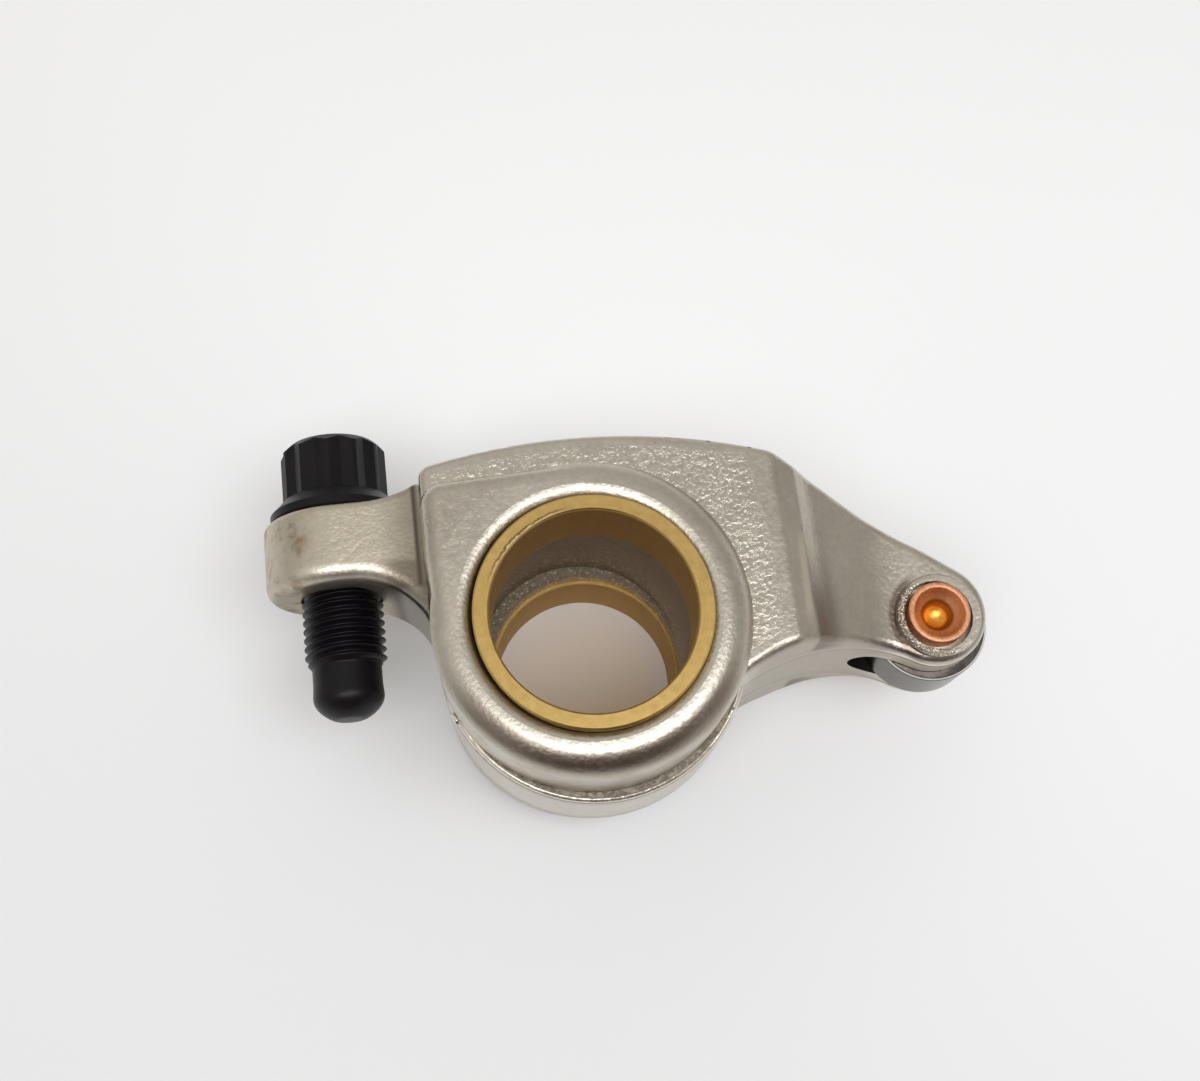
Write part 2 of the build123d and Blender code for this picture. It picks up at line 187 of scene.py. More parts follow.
class Finish(Graph):
    """A material whose patterns are placed in mm of the casting's frame, with its tone laid on in layers."""

    def __init__(self, name):
        self.material = bpy.data.materials.new(name)
        self.material.use_nodes = True
        super().__init__(self.material.node_tree)
        place = self.node("ShaderNodeTexCoord", {}, {}, "Object")
        self.place = self.node("ShaderNodeVectorMath", {"operation": "SCALE"}, {0: place, "Scale": 1 / MM})
        self.x, self.y, self.z = self.parts(self.place)
        self.tone = None

    def layer(self, share, color):
        """Lays a colour over the tone, covering it by the share."""
        self.tone = self.mix(share, self.tone, color)

    def distance(self, place):
        """Distance in mm from a point (x, y, z), or from the line parallel to the bore through (x, y)."""
        parts = [axis - at for axis, at in zip((self.x, self.y, self.z), place)]
        total = parts[0] * parts[0]
        for part in parts[1:]:
            total = total + part * part
        return total.math("SQRT")

    def noise(self, size, detail=2.0, rough=0.5, stretch=None):
        """Noise with features about size mm across, from 0 to 1 with its middle near 0.5."""
        place = self.place
        if stretch:
            place = self.node("ShaderNodeVectorMath", {"operation": "MULTIPLY"}, {0: place, 1: stretch})
        return self.node(
            "ShaderNodeTexNoise",
            {"noise_dimensions": "3D"},
            {"Vector": place, "Scale": 1 / size, "Detail": detail, "Roughness": rough},
        )

    def bump(self, height, depth, under=None):
        """Normal from a height, where depth is the depth in mm of a height of 1, over another such normal."""
        sockets = {"Height": height, "Distance": depth * MM}
        if under:
            sockets["Normal"] = under
        return self.node("ShaderNodeBump", {}, sockets)

    def shade(self, rough, metal=1.0, normal=None, **fixed):
        """The surface shader on the finished tone, the output, and the material they make."""
        sockets = {"Base Color": self.tone, "Roughness": rough, "Metallic": metal}
        if normal:
            sockets["Normal"] = normal
        sockets.update(fixed)
        surface = self.node("ShaderNodeBsdfPrincipled", {}, sockets)
        self.node("ShaderNodeOutputMaterial", {}, {"Surface": surface})
        return self.material


# ---------------------------------------------------------------- nickel: its layers, region by region
NICKEL_DARK = (0.515, 0.472, 0.402)
NICKEL_LIGHT = (0.665, 0.618, 0.538)
# painted light: the ledge's flank, paler low down where its slope catches the light
FLANK_PAINTED_LIGHT = (0.88, 0.80, 0.67)
# painted highlight along the ledge's ridge
RIDGE_PAINTED_HIGHLIGHT = (0.84, 0.76, 0.63)
# painted shade in the valley at the ledge's foot
VALLEY_PAINTED_SHADE = (0.135, 0.092, 0.065)
LUG_WARM = (0.60, 0.52, 0.385)
LUG_STAIN = (0.26, 0.18, 0.07)
# painted shade in the crease at the lug's root
ROOT_PAINTED_SHADE = (0.060, 0.043, 0.030)
# painted highlight along the crest of the lug's lower edge
CREST_PAINTED_HIGHLIGHT = (0.92, 0.86, 0.76)
# painted shade where the lug's crest runs into the boss
CREST_TAIL_PAINTED_SHADE = (0.17, 0.135, 0.10)
# painted shade on the lug's underside
UNDERSIDE_PAINTED_SHADE = (0.15, 0.125, 0.10)
CAST_BORE = (0.36, 0.305, 0.235)
# painted glints on the cast bore
CAST_PAINTED_GLINT = (0.95, 0.86, 0.70)
# painted shade in the gap round each bushing
GAP_PAINTED_SHADE = (0.10, 0.075, 0.05)
RIB_ROUGH = (0.215, 0.18, 0.15)
# painted highlight on the rib's edge
RIB_EDGE_PAINTED_HIGHLIGHT = (0.95, 0.88, 0.78)
RIB_SHADOW = (0.085, 0.065, 0.045)
RIB_KHAKI = (0.36, 0.29, 0.15)
# painted shade on the arch's wall and rim
ARCH_PAINTED_SHADE = (0.27, 0.23, 0.19)
# painted shade inside the fork's slot
SLOT_PAINTED_SHADE = (0.012, 0.010, 0.009)
NICK_DARK = (0.045, 0.035, 0.028)
# painted dark reflection low on the boss ring
RING_PAINTED_REFLECTION = (0.175, 0.120, 0.092)
# painted brown reflection on the barrel's wall
WALL_PAINTED_REFLECTION = (0.36, 0.27, 0.13)
# painted shadow beside the axle's collar
COLLAR_PAINTED_SHADOW = (0.13, 0.07, 0.05)
CORNER_DARKER = (0.42, 0.38, 0.32)

# each dark nick's middle and radius
NICKS = (
    ((15.55, 19.51, 14.0), 0.42),
    ((20.09, 18.19, 14.0), 0.42),
    ((32.64, -1.29, 9.4), 0.34),
    ((31.34, 0.28, 9.6), 0.24),
    ((38.66, -6.53, 7.6), 0.20),
    ((1.23, -15.6, 17.4), 0.26),
    ((3.04, 13.0, 18.3), 0.30),
)


def ledge_layers(f, height):
    """The ledge beside the plateau: painted light on the lower flank, a painted highlight along the ridge,
    and painted shade in the brown valley at its foot.
    """
    flank = f.x.band(22.6, 24.0, 0.9) * height.step(7.5, 10.0)
    f.layer(flank * f.y.step(13.0, 5.0) * 0.14, FLANK_PAINTED_LIGHT)
    leaning_x = f.x - f.y * 0.05
    ridge = leaning_x.band(23.9, 24.3, 0.45) * f.y.band(-0.5, 6.0, 3.0) * height.step(7.0, 9.0)
    f.layer(ridge * 0.75, RIDGE_PAINTED_HIGHLIGHT)
    fall = f.x.step(24.45, 25.1) * f.x.step(29.0, 25.6)
    deeper_below = f.y.step(8.0, -2.5) * 0.8 + f.y.step(16.0, 4.0) * 0.2
    f.layer(fall * deeper_below * height.step(6.5, 8.5) * 0.80, VALLEY_PAINTED_SHADE)


def lug_layers(f, height):
    """The lug: brown stains near its end, painted shade in the crease at its root, a painted highlight along
    the crest of its lower edge with painted shade where that crest runs into the boss, and painted shade on
    its underside.

    Returns the lug's mask.
    """
    lug = f.x.step(-17.6, -18.6) * f.y.step(7.0, 8.0)
    f.layer(lug * 0.35, LUG_WARM)
    stain = f.noise(2.6, 4.0, 0.65).step(0.44, 0.70) * lug * f.x.step(-29.0, -32.5)
    f.layer(stain * 0.8, LUG_STAIN)
    root = lug * (f.x.step(-23.5, -18.3) * 0.38 + f.x.step(-18.95, -18.35) * 0.62)
    f.layer(root * 0.95, ROOT_PAINTED_SHADE)
    leaning_y = f.y + f.x * 0.105
    crest_highlight = lug * leaning_y.band(6.9, 7.6, 1.1) * f.x.band(-31.0, -23.0, 2.5) * height.step(5.5, 7.0)
    f.layer(crest_highlight * 0.45, CREST_PAINTED_HIGHLIGHT)
    tail = lug * leaning_y.band(5.8, 8.2, 0.9) * f.x.step(-24.0, -20.8)
    f.layer(tail * 0.6, CREST_TAIL_PAINTED_SHADE)
    underside = f.x.step(-17.0, -18.0) * leaning_y.step(6.3, 5.6)
    f.layer(underside * 0.55, UNDERSIDE_PAINTED_SHADE)
    return lug


def bore_layers(f, height, radius):
    """The bore between the bushings, left as cast with painted glints, and a line of painted shade in the gap
    round each bushing.

    Returns the cast bore's mask.
    """
    inside = radius.step(13.7, 13.4) * height.step(10.4, 9.9)
    f.layer(inside * 0.92, CAST_BORE)
    glint = f.noise(0.45, 3.0, 0.7).step(0.54, 0.66) * inside * f.z.step(3.0, -7.0)
    f.layer(glint * 0.75, CAST_PAINTED_GLINT)
    gap = radius.step(SEAT_RADIUS + 0.14, SEAT_RADIUS + 0.04) * height.step(PLATEAU_Z, PLATEAU_Z + 0.5)
    f.layer(gap * 0.7, GAP_PAINTED_SHADE)
    return inside


def rib_layers(f, height, radius):
    """The belly rib: rough side faces, a painted highlight on its edge, and a painted shadow line then khaki
    below that edge.

    Returns the mask of its rough faces.
    """
    across = f.distance(RIB_CENTER)
    rib = f.y.step(-3.0, -7.0) * radius.step(BARREL_RADIUS - 0.1, BARREL_RADIUS + 0.15)
    level = rib * height.step(RIB_HALF - 0.45, RIB_HALF - 0.25) * height.step(RIB_HALF + 0.6, RIB_HALF + 0.2)
    face = level * across.step(RIB_RADIUS - 0.45, RIB_RADIUS - 0.62)
    edge = rib * across.step(RIB_RADIUS - 0.62, RIB_RADIUS - 0.48)
    edge = edge * height.band(RIB_HALF - 0.30, RIB_HALF + 0.1, 0.12)
    line = rib * height.band(RIB_HALF - 0.85, RIB_HALF - 0.52, 0.15)
    line = line * across.step(RIB_RADIUS - 0.5, RIB_RADIUS - 0.2)
    grain = f.noise(0.5, 2.0, 0.6).step(0.40, 0.62)
    f.layer(face * (0.9 - grain * 0.45), RIB_ROUGH)
    f.layer(edge * 0.85, RIB_EDGE_PAINTED_HIGHLIGHT)
    f.layer(line * 0.8, RIB_SHADOW)
    f.layer(rib * height.band(RIB_HALF - 2.0, RIB_HALF - 1.3, 0.5) * 0.35, RIB_KHAKI)
    return face


def arch_layer(f):
    """The arch's wall and rim, darkened by painted shade. Returns their mask."""
    arch = f.distance(ARCH_CENTER).step(ARCH_RADIUS + 1.6, ARCH_RADIUS + 0.3)
    arch = arch * f.x.step(15.0, 19.0) * f.x.step(36.0, 32.0)
    f.layer(arch * 0.40, ARCH_PAINTED_SHADE)
    return arch


def slot_layer(f):
    """The fork's slot, darkened inside by painted shade: what lies within its half width of its middle line.

    The line starts at the centre of the slot's round end. Returns the slot's mask.
    """
    past_end = (SLOT_END_X + SLOT_HALF - f.x).most(0.0)
    from_middle = (past_end * past_end + f.z * f.z).math("SQRT")
    slot = from_middle.step(SLOT_HALF + 0.10, SLOT_HALF + 0.03)
    slot = slot * f.x.step(SLOT_END_X - 0.3, SLOT_END_X - 0.1)
    f.layer(slot * 0.94, SLOT_PAINTED_SHADE)
    return slot


def nick_layers(f):
    """Dark nicks from handling, each full at its middle and gone at its radius."""
    for middle, wide in NICKS:
        f.layer(f.distance(middle).step(wide, wide * 0.45) * 0.85, NICK_DARK)


def barrel_layers(f, height, radius):
    """A painted dark reflection low on the boss ring, and a painted brown reflection in blotches on the
    barrel's wall under it.
    """
    dark_reflection = radius.band(15.55, 16.75, 0.65) * f.y.step(-4.0, -11.0) * height.step(14.2, 15.2)
    f.layer(dark_reflection * 0.62, RING_PAINTED_REFLECTION)
    wall = radius.step(16.7, 17.2) * f.y.step(-7.0, -10.0) * height.band(8.0, 16.5, 1.0)
    f.layer(wall * f.noise(3.5, 3.0).step(0.45, 0.7) * 0.35, WALL_PAINTED_REFLECTION)


def collar_layer(f, height):
    """Painted shadow: a brown crescent on the nose, on the barrel's side of the axle's collar."""
    crescent = f.distance(COLLAR_CENTER).band(COLLAR_RADIUS, COLLAR_RADIUS + 0.45, 0.6)
    crescent = crescent * f.x.step(38.6, 36.4)
    f.layer(crescent * height.step(6.0, 7.0) * 0.7, COLLAR_PAINTED_SHADOW)


def corner_layer(f, height):
    """The boss's corner towards the lug, a little darker. Returns its mask."""
    on_boss = height.step(PLATEAU_Z + 0.2, PLATEAU_Z + 0.6)
    corner = on_boss * f.x.step(-5.0, -12.0) * f.y.step(4.0, 11.0)
    f.layer(corner * 0.22, CORNER_DARKER)
    return corner


def nickel_finish():
    """Satin nickel over cast steel: fine grain all over, then the layers above, laid on in this order."""
    f = Finish("satin_nickel")
    height = abs(f.z)
    radius = f.distance(BORE_AXIS)
    fine = f.noise(0.46, 1.0, 0.5)
    grain = f.noise(0.85, 2.0, 0.6)
    blotch = f.noise(2.4, 3.0, 0.55)
    broad = f.noise(9.0, 2.0, 0.5)
    unevenness = fine.sway(0.35) + grain.sway(0.45) + blotch.sway(0.3) + broad.sway(0.5) + 0.5
    f.tone = f.ramp(unevenness, 0.2, NICKEL_DARK, NICKEL_LIGHT)
    ledge_layers(f, height)
    lug = lug_layers(f, height)
    inside = bore_layers(f, height, radius)
    rib_face = rib_layers(f, height, radius)
    arch = arch_layer(f)
    slot = slot_layer(f)
    nick_layers(f)
    barrel_layers(f, height, radius)
    collar_layer(f, height)
    corner = corner_layer(f, height)
    ring_face = radius.step(BARREL_RADIUS + 0.1, BARREL_RADIUS - 0.3) * height.step(12.0, 14.0)
    rough = 0.31 + fine.sway(0.10) + blotch.sway(0.08) + inside * 0.22 + (slot + rib_face) * 0.35
    rough = rough + ring_face * 0.055 + lug * 0.11 + arch * 0.12
    # relief: hammered on the lug's flank within a wandering edge, rough on the rib's faces and in the bore,
    # and finely cast elsewhere
    wander = f.noise(2.6, 2.0).sway(3.0)
    hammered = lug * (f.x + wander).band(-27.6, -23.0, 2.2) * (f.y + wander).band(12.0, 17.4, 1.8)
    coarse = f.noise(0.75, 4.0, 0.72)
    normal = f.bump(fine, depth=0.034)
    normal = f.bump(grain * (corner * 1.2 + 0.55 - ring_face * 0.42), depth=0.056, under=normal)
    normal = f.bump(coarse * (hammered * 0.5 + rib_face + inside * 3.0), depth=0.16, under=normal)
    return f.shade(rough, normal=normal)


def skin_finish():
    """The same nickel on the plateau's hammered skin: fine wrinkles, fading towards the ledge and crown."""
    f = Finish("hammered_nickel")
    fine = f.noise(0.46, 1.0, 0.5)
    wrinkle = f.noise(0.36, 3.0, 0.68, stretch=(0.8, 1.0, 1.0))
    broad = f.noise(7.0, 2.0, 0.5)
    patchy = f.noise(2.4, 2.0).step(0.32, 0.60)
    f.tone = f.ramp(fine.sway(0.4) + broad.sway(0.8) + 0.5, 0.2, NICKEL_DARK, NICKEL_LIGHT)
    fade = f.x.step(LEDGE_X - 0.6, LEDGE_X - 3.6)
    fade = fade * f.distance(CROWN_CENTER).step(CROWN_RADIUS - 0.6, CROWN_RADIUS - 1.5)
    wrinkled = wrinkle * (patchy * 0.55 + 0.45) * (fade * 0.85 + 0.15)
    normal = f.bump(wrinkled, depth=0.085, under=f.bump(fine, depth=0.032))
    return f.shade(0.33 + fine.sway(0.12), normal=normal)


# ---------------------------------------------------------------- bronze, copper and steel
BRONZE_DARK = (0.62, 0.405, 0.130)
BRONZE_LIGHT = (0.79, 0.555, 0.215)
# painted shade in the bushing's bore
BRONZE_BORE_PAINTED_SHADE = (0.43, 0.26, 0.085)
BRONZE_OUTSIDE_DARKER = (0.26, 0.16, 0.06)
# painted shade where the bushing enters the boss
BRONZE_CREVICE_PAINTED_SHADE = (0.05, 0.03, 0.015)
BRONZE_CHIP = (0.12, 0.07, 0.03)
BRONZE_BARE = (0.95, 0.80, 0.50)
COPPER_DARK = (0.60, 0.265, 0.135)
COPPER_LIGHT = (0.84, 0.44, 0.27)
DISH_BROWN = (0.62, 0.30, 0.12)
DISH_PIT = (0.17, 0.07, 0.025)
DIMPLE_DARK = (0.78, 0.36, 0.055)
DIMPLE_LIGHT = (0.98, 0.52, 0.12)
# painted shade round the axle's dimple
DIMPLE_EDGE_PAINTED_SHADE = (0.17, 0.065, 0.01)
STEEL_DARK = (0.085, 0.074, 0.068)
STEEL_LIGHT = (0.19, 0.175, 0.165)
# painted highlight on the roller's bevels
BEVEL_PAINTED_HIGHLIGHT = (0.80, 0.77, 0.74)
OXIDE_DARK = (0.0030, 0.0022, 0.0034)
OXIDE_LIGHT = (0.0060, 0.0048, 0.0068)


def bronze_finish():
    """Turned bearing bronze: faint rings on its ends, its bore darkened brown by painted shade, its outside
    darker with painted shade where it enters the boss, and one chipped edge.
    """
    f = Finish("bushing_bronze")
    radius = f.distance(BORE_AXIS)
    height = abs(f.z)
    rings_per_mm = 2.6
    ring = f.node(
        "ShaderNodeTexNoise", {"noise_dimensions": "1D"}, {"W": radius * rings_per_mm, "Detail": 1.0}
    )
    mottle = f.noise(0.9, 2.0, 0.6)
    streak = f.noise(1.6, 3.0, 0.6, stretch=(1, 1, 0.25))
    f.tone = f.ramp(mottle.sway(0.6) + ring.sway(0.8) + 0.5, 0.2, BRONZE_DARK, BRONZE_LIGHT)
    inside = radius.step(BORE_RADIUS + 0.15, BORE_RADIUS + 0.03)
    f.layer(inside * (streak * 0.3 + 0.60), BRONZE_BORE_PAINTED_SHADE)
    outside = radius.step(SEAT_RADIUS - 0.10, SEAT_RADIUS - 0.03)
    f.layer(outside * 0.45, BRONZE_OUTSIDE_DARKER)
    f.layer(outside * height.step(BARREL_HALF - 0.15, BARREL_HALF - 0.35), BRONZE_CREVICE_PAINTED_SHADE)
    # the upper face's inner edge towards the adjuster: chipped along a ragged line, and bare metal inside it
    worn = (f.y - f.x * 0.75).step(11.5, 14.5) * f.z.step(18.3, 18.6) * f.x.step(0.0, -2.5)
    ragged = f.noise(0.8, 3.0, 0.7) * 0.8 + BORE_RADIUS
    chip = worn * (radius - ragged).band(0.02, 0.14, 0.09)
    f.layer(chip * 0.75, BRONZE_CHIP)
    f.layer(worn * (ragged - radius).step(0.04, 0.14) * (1 - inside) * 0.6, BRONZE_BARE)
    rough = 0.31 + mottle.sway(0.10) + inside * 0.28
    return f.shade(rough, normal=f.bump(ring, depth=0.004))


def copper_finish():
    """Copper-coloured axle: matt on its rim, browner and pitted down its dish, deep orange in the dimple with
    a ring of painted shade round it.
    """
    f = Finish("axle_copper")
    radius = f.distance(ROLLER_CENTER)
    mottle = f.noise(0.35, 4.0, 0.68)
    pits = f.noise(0.28, 2.0, 0.6).step(0.60, 0.72)
    f.tone = f.ramp(mottle, 0.3, COPPER_DARK, COPPER_LIGHT)
    dimple_radius, dimple_edge = 1.45, 1.75
    dimple = radius.step(dimple_edge, dimple_radius)
    wall = radius.step(2.85, 2.65) * (1 - dimple)
    f.layer(wall * 0.60, DISH_BROWN)
    f.layer(wall * pits * 0.6, DISH_PIT)
    f.layer(dimple, f.ramp(mottle, 0.3, DIMPLE_DARK, DIMPLE_LIGHT))
    f.layer(radius.band(dimple_radius, dimple_edge, 0.3) * 0.8, DIMPLE_EDGE_PAINTED_SHADE)
    rough = 0.46 + mottle.sway(0.25) - dimple * 0.14
    return f.shade(rough, normal=f.bump(mottle, depth=0.055))


def roller_finish():
    """Ground and hardened roller steel, dark, with a painted highlight line on its bevels."""
    f = Finish("roller_steel")
    radius = f.distance(ROLLER_CENTER)
    mottle = f.noise(0.8, 3.0, 0.6, stretch=(1, 1, 4))
    f.tone = f.ramp(mottle, 0.3, STEEL_DARK, STEEL_LIGHT)
    bevel = radius.band(6.64, 6.78, 0.03) * abs(f.z).step(2.9, 3.1)
    f.layer(bevel, BEVEL_PAINTED_HIGHLIGHT)
    rough = 0.24 + mottle.sway(0.1)
    return f.shade(rough, metal=1 - bevel * 0.8, normal=f.bump(mottle, depth=0.008))


def black_finish():
    """Black oxide over steel, satin, with a fine grain."""
    f = Finish("black_oxide")
    fine = f.noise(0.25, 3.0, 0.6)
    broad = f.noise(3.0, 2.0)
    f.tone = f.ramp(broad, 0.3, OXIDE_DARK, OXIDE_LIGHT)
    rough = 0.38 + fine.sway(0.2)
    low_gloss = {"Specular IOR Level": 0.24}
    return f.shade(rough, metal=0.0, normal=f.bump(fine, depth=0.008), **low_gloss)


# ---------------------------------------------------------------- surfaces
def smooth(value, low, high):
    """Smooth rise from 0 at low to 1 at high: three squares less two cubes of the share of the way."""
    t = np.clip((value - low) / (high - low), 0, 1)
    return t * t * (3 - 2 * t)


def ripple(x, y, size, seed):
    """Uneven relief whose root mean square is about 1.

    It is a sum of plane waves, each about size long and in a direction drawn from the seed, over the square
    root of half their number.
    """
    draw = np.random.default_rng(seed)
    total = np.zeros_like(x)
    waves = 44
    headings = draw.uniform(0, 2 * pi, waves)
    lengths = draw.uniform(0.6, 1.7, waves) * size
    starts = draw.uniform(0, 2 * pi, waves)
    for heading, length, start in zip(headings, lengths, starts):
        total += np.cos((x * np.cos(heading) + y * np.sin(heading)) * 2 * pi / length + start)
    return total * np.sqrt(2 / waves)


def new_piece(name, points, faces, material):
    """Smooth-shaded object at the origin, from points in mm and faces of their numbers."""
    mesh = bpy.data.meshes.new(name)
    mesh.from_pydata((points * MM).tolist(), [], faces)
    mesh.validate()
    mesh.polygons.foreach_set("use_smooth", np.ones(len(mesh.polygons), bool))
    mesh.materials.append(material)
    mesh.update()
    piece = bpy.data.objects.new(name, mesh)
    bpy.context.scene.collection.objects.link(piece)
    return piece


def closed_shell(name, points, material):
    """Mesh from points (rows, columns, 3) in mm: each row closes on itself, and the end rows are capped."""
    rows, columns = points.shape[:2]
    index = np.arange(rows * columns).reshape(rows, columns)
    low, high = index[:-1], index[1:]
    quads = np.stack([low, np.roll(low, -1, 1), np.roll(high, -1, 1), high], -1)
    caps = [index[0][::-1].tolist(), index[-1].tolist()]
    return new_piece(name, points.reshape(-1, 3), quads.reshape(-1, 4).tolist() + caps, material)


def open_sheet(name, points, inside, material):
    """Open mesh from a grid of points in mm, keeping the cells whose four corners are all inside."""
    rows, columns = points.shape[:2]
    index = np.arange(rows * columns).reshape(rows, columns)
    quads = np.stack([index[:-1, :-1], index[:-1, 1:], index[1:, 1:], index[1:, :-1]], -1)
    kept = inside[:-1, :-1] & inside[:-1, 1:] & inside[1:, 1:] & inside[1:, :-1]
    used, quads = np.unique(quads[kept], return_inverse=True)
    return new_piece(name, points.reshape(-1, 3)[used], quads.reshape(-1, 4).tolist(), material)


def adjuster_thread(material):
    """The adjuster screw, carried round its axis.

    Its radius is a turned outline, less a V groove whose phase is height over pitch less the share of a turn.
    The hexagon socket's radius is half its flats over the cosine of the turn from the nearest flat.
    """
    around, steps_per_pitch = 96, 14
    thread_start, thread_end = 1.0, SCREW_TOP - 0.05
    entry_length, leave_length, leave_radius = 0.9, 0.6, 4.15
    groove_depth, flank_slope, crest_flat, root_round = 0.66, 2.3, 0.06, 0.9
    chamfer_radius, socket_flats, socket_depth, drill_depth = 3.6, 3.97, 4.2, 4.5
    turn = np.linspace(0, 2 * pi, around, endpoint=False)
    # (radius, height) along the rounded tip, which swells a little, and along the plain neck
    tip = [(0.02, -5.15), (1.3, -5.15), (1.72, -5.10), (2.05, -4.98), (2.55, -4.70), (3.0, -4.38)]
    tip += [(3.38, -4.02), (3.68, -3.66), (3.90, -3.30), (4.04, -2.95), (4.10, -2.62), (4.11, -2.3)]
    neck = [(NECK_RADIUS, -1.1), (NECK_RADIUS, 0.9)]
    thread_height = np.arange(thread_start, thread_end, THREAD_PITCH / steps_per_pitch)
    outline_radius = [r for r, h in tip + neck] + [SCREW_RADIUS] * len(thread_height)
    outline_height = [h for r, h in tip + neck] + list(thread_height)
    radius = np.array(outline_radius)[:, None] * np.ones_like(turn)
    height = np.array(outline_height)[:, None] * np.ones_like(turn)
    phase = (height / THREAD_PITCH - turn / (2 * pi)) % 1.0
    groove = np.clip(np.abs(phase - 0.5) * flank_slope - crest_flat, 0, 1) ** root_round
    entry = np.clip((height - thread_start) / entry_length, 0, 1)
    leave = np.clip((thread_end - height) / leave_length, 0, 1)
    crest = NECK_RADIUS + (SCREW_RADIUS - NECK_RADIUS) * entry
    cut = np.minimum(crest, SCREW_RADIUS - groove_depth * groove)
    cut = np.minimum(cut, leave_radius + (SCREW_RADIUS - leave_radius) * leave)
    cut = np.maximum(cut, np.minimum(crest, NECK_RADIUS))
    radius = np.where(height >= thread_start, cut, radius)
    hex_radius = socket_flats / 2 / np.cos((turn % (pi / 3)) - pi / 6)
    chamfer = np.full_like(turn, chamfer_radius)
    drill_point = np.full_like(turn, 0.02)
    top_radius = [chamfer, hex_radius, hex_radius * 0.995, drill_point]
    top_height = SCREW_TOP - np.array([0.0, 0.0, socket_depth, drill_depth])
    radius = np.vstack([radius, top_radius])
    height = np.vstack([height, top_height[:, None] * np.ones_like(turn)])
    points = np.stack([SCREW_X + radius * np.sin(turn), height, radius * np.cos(turn)], -1)
    return closed_shell("adjuster_thread", points, material)


def plateau_skin(name, side, material):
    """Hammered skin of the plateau: its height is a ripple on the flat, faded where its margin is small.

    The margin is the least of the distances inside the crown's edge, outside the arch's edge, and from the
    barrel's end and the ledge. The skin also stops at the boss, and at its rim it sinks under the flat.
    """
    cell = 0.105
    crown_inset, arch_inset, barrel_inset, ledge_inset = 1.05, 1.5, 1.0, 1.1
    x, y = np.meshgrid(np.arange(-17.0, 22.2, cell), np.arange(-9.0, 21.7, cell))
    crown = CROWN_RADIUS - np.hypot(x - CROWN_CENTER[0], y - CROWN_CENTER[1]) - crown_inset
    arch = np.hypot(x - ARCH_CENTER[0], y - ARCH_CENTER[1]) - ARCH_RADIUS - arch_inset
    ledge = LEDGE_X - ledge_inset - 0.12 * np.maximum(y - 8, 0) - x
    ends = np.minimum(x + BARREL_RADIUS - barrel_inset, ledge)
    margin = np.minimum(np.minimum(crown, arch), ends)
    # the boss's edge is a nearly straight line on the corner's side, and a circle on the other
    corner_end_x, corner_slope = -0.82, 0.047
    corner = y - BOSS_CORNER_Y - (x + BARREL_RADIUS) * corner_slope
    from_boss = np.where(x < corner_end_x, corner, np.hypot(x, y) - BARREL_RADIUS)
    coarse = ripple(x, y, size=0.85, seed=3)
    finer = ripple(x, y, size=0.45, seed=5)
    coarse_depth, finer_depth = 0.013, 0.011
    side_share = 0.78 - 0.06 * smooth(x, 4.0, 15.0)
    relief = (coarse_depth * coarse + finer_depth * finer) * side_share
    rise, sunk = 0.035, 0.03
    height = PLATEAU_Z + rise * smooth(margin, 0.0, 0.5) - sunk + relief * smooth(margin, 0.0, 1.4)
    points = np.stack([x, y, side * height], -1)
    inside = (margin > -0.1) & (from_boss > -0.3)
    if side < 0:
        points, inside = points[:, ::-1], inside[:, ::-1]
    return open_sheet(name, points, inside, material)


def turned_axle(material):
    """The axle: a turned outline of radius and height, mirrored about the middle, carried round its axis.

    Each end is a flat rim, a dish whose wall falls inward, and a dimple that is part of a sphere.
    """
    around = 96
    sphere_radius, dimple_depth = 1.75, 2.75
    dimple_radius = np.linspace(0.02, 1.5, 12)
    dimple_height = AXLE_HALF - dimple_depth + sphere_radius - np.sqrt(sphere_radius**2 - dimple_radius**2)
    wall_radius = [1.62, 1.72, 1.85, 2.15, 2.45, 2.70, 2.84, 2.90, 2.96, 3.04]
    wall_drop = [1.62, 1.42, 1.28, 1.02, 0.74, 0.42, 0.20, 0.09, 0.03, 0.0]
    rim_radius = [3.38, 3.46, 3.54, 3.59, AXLE_RADIUS]
    rim_drop = [0.0, 0.02, 0.07, 0.14, 0.24]
    half_radius = np.concatenate([dimple_radius, wall_radius, rim_radius])
    half_height = np.concatenate([dimple_height, AXLE_HALF - np.array(wall_drop + rim_drop)])
    radius = np.concatenate([half_radius, half_radius[::-1]])[:, None]
    height = np.concatenate([half_height, -half_height[::-1]])[:, None]
    turn = np.linspace(0, 2 * pi, around, endpoint=False)[None, :]
    x = ROLLER_CENTER[0] + radius * np.sin(turn)
    y = ROLLER_CENTER[1] + radius * np.cos(turn)
    points = np.stack([x, y, height + np.zeros_like(turn)], -1)
    return closed_shell("turned_axle", points, material)


